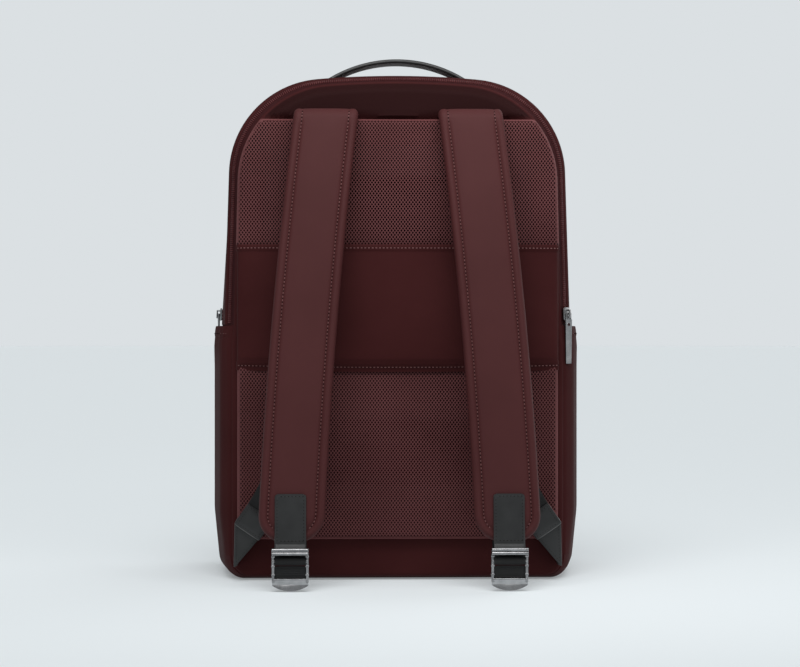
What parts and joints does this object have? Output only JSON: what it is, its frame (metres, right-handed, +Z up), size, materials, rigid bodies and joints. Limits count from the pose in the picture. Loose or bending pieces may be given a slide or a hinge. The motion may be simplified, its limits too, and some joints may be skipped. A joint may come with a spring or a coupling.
{
  "type": "travel backpack",
  "caption": "Travel backpack: padded mesh back with a sleeve pocket, padded shoulder straps on buckles, zipped laptop and main compartments, side pockets, top handle.",
  "frame": {"origin": "on the floor under the middle of the bag's body", "axes": "+Z up, -Y towards the wearer's side with the straps, +Y towards the front of the bag, +X to the right as seen from the wearer's side"},
  "size_m": [0.313, 0.2284, 0.4365],
  "materials": {
    "shell_fabric": "smooth matte woven nylon, deep burgundy",
    "mesh_fabric": "spacer mesh, burgundy",
    "lining_fabric": "plain woven lining, dark",
    "zip_fabric": "woven zipper tape, dark burgundy",
    "zip_coil": "nylon coil, dark burgundy",
    "foam": "closed-cell foam",
    "board": "polyethylene sheet",
    "black_leather": "fine-grained black leather, stitched",
    "black_webbing": "ribbed black webbing",
    "gunmetal": "brushed dark nickel plate"
  },
  "bodies": {
    "bag": {"back_cover": "shell_fabric", "back_foam": "foam", "back_board": "board", "upper_pad_foam": "foam", "upper_pad_mesh": "mesh_fabric", "lower_pad_foam": "foam", "lower_pad_mesh": "mesh_fabric", "pocket_sleeve": "shell_fabric", "bottom_panel": "shell_fabric", "middle_gusset": "shell_fabric", "front_body": "shell_fabric", "front_crease": "shell_fabric", "divider": "lining_fabric", "base_board": "board", "side_pocket_left": "shell_fabric", "side_pocket_right": "shell_fabric", "laptop_zip_tape": "zip_fabric", "laptop_zip_coil": "zip_coil", "main_zip_tape_rear": "zip_fabric", "main_zip_coil_rear": "zip_coil", "front_zip_tape": "zip_fabric", "front_zip_coil": "zip_coil", "front_pocket_bag": "lining_fabric", "handle_ends": "black_leather", "strap_anchor_left": "shell_fabric", "strap_anchor_right": "shell_fabric", "wing_left": "black_webbing", "wing_right": "black_webbing", "webbing_patch_left": "black_leather", "webbing_patch_right": "black_leather", "lower_webbing_left": "black_webbing", "lower_webbing_right": "black_webbing"},
    "flap": {"front_flap": "shell_fabric", "main_zip_tape_front": "zip_fabric", "main_zip_coil_front": "zip_coil"},
    "handle": {"handle_grip": "black_leather"},
    "strap_left": {"strap_face_left": "shell_fabric", "strap_foam_left": "foam", "strap_lining_left": "mesh_fabric", "strap_tab_left": "black_leather"},
    "strap_right": {"strap_face_right": "shell_fabric", "strap_foam_right": "foam", "strap_lining_right": "mesh_fabric", "strap_tab_right": "black_leather"},
    "buckle_left": {"buckle_left": "gunmetal", "webbing_turn_left": "black_webbing"},
    "buckle_right": {"buckle_right": "gunmetal", "webbing_turn_right": "black_webbing"},
    "laptop_slider": {"laptop_slider": "gunmetal"},
    "laptop_pull": {"laptop_pull": "gunmetal"},
    "main_slider": {"main_slider": "gunmetal", "main_pull": "gunmetal"},
    "front_slider": {"front_slider": "gunmetal"},
    "front_pull": {"front_pull": "gunmetal"}
  },
  "joints": [
    {"name": "flap_fold", "type": "hinge", "parent": "bag", "child": "flap", "pos_m": [0, 0, 0.212], "axis": [-1, 0, 0], "range_deg": [0, 35], "deforming": ["front_crease", "main_zip_tape_front", "main_zip_coil_front"]},
    {"name": "handle_fold", "type": "hinge", "parent": "bag", "child": "handle", "pos_m": [0, -0.034, 0.418], "axis": [1, 0, 0], "range_deg": [-30, 30], "deforming": ["handle_ends"]},
    {"name": "strap_left_swing", "type": "hinge", "parent": "bag", "child": "strap_left", "pos_m": [-0.058, -0.091, 0.386], "axis": [-1, 0, 0], "range_deg": [0, 30], "deforming": ["lower_webbing_left"]},
    {"name": "buckle_left_tilt", "type": "hinge", "parent": "strap_left", "child": "buckle_left", "pos_m": [-0.087, -0.146, 0.03215], "axis": [-1, 0, 0], "range_deg": [-20, 60]},
    {"name": "strap_right_swing", "type": "hinge", "parent": "bag", "child": "strap_right", "pos_m": [0.058, -0.091, 0.386], "axis": [-1, 0, 0], "range_deg": [0, 30], "deforming": ["lower_webbing_right"]},
    {"name": "buckle_right_tilt", "type": "hinge", "parent": "strap_right", "child": "buckle_right", "pos_m": [0.087, -0.146, 0.03215], "axis": [-1, 0, 0], "range_deg": [-20, 60]},
    {"name": "laptop_zip_slide", "type": "slide", "parent": "bag", "child": "laptop_slider", "axis": [-0.0274, 0, 0.9996], "range_m": [0, 0.1]},
    {"name": "laptop_pull_swing", "type": "hinge", "parent": "laptop_slider", "child": "laptop_pull", "pos_m": [0.14257, -0.06792, 0.22108], "axis": [-0.6376, -0.7703, 0], "range_deg": [0, 150]},
    {"name": "main_zip_slide", "type": "slide", "parent": "bag", "child": "main_slider", "axis": [0.0606, 0, 0.9982], "range_m": [0, 0.11]},
    {"name": "front_zip_slide", "type": "slide", "parent": "bag", "child": "front_slider", "axis": [1, 0, 0], "range_m": [0, 0.198]},
    {"name": "front_pull_swing", "type": "hinge", "parent": "front_slider", "child": "front_pull", "pos_m": [-0.099, 0.0758, 0.182], "axis": [0, 0, 1], "range_deg": [0, 150]}
  ]
}
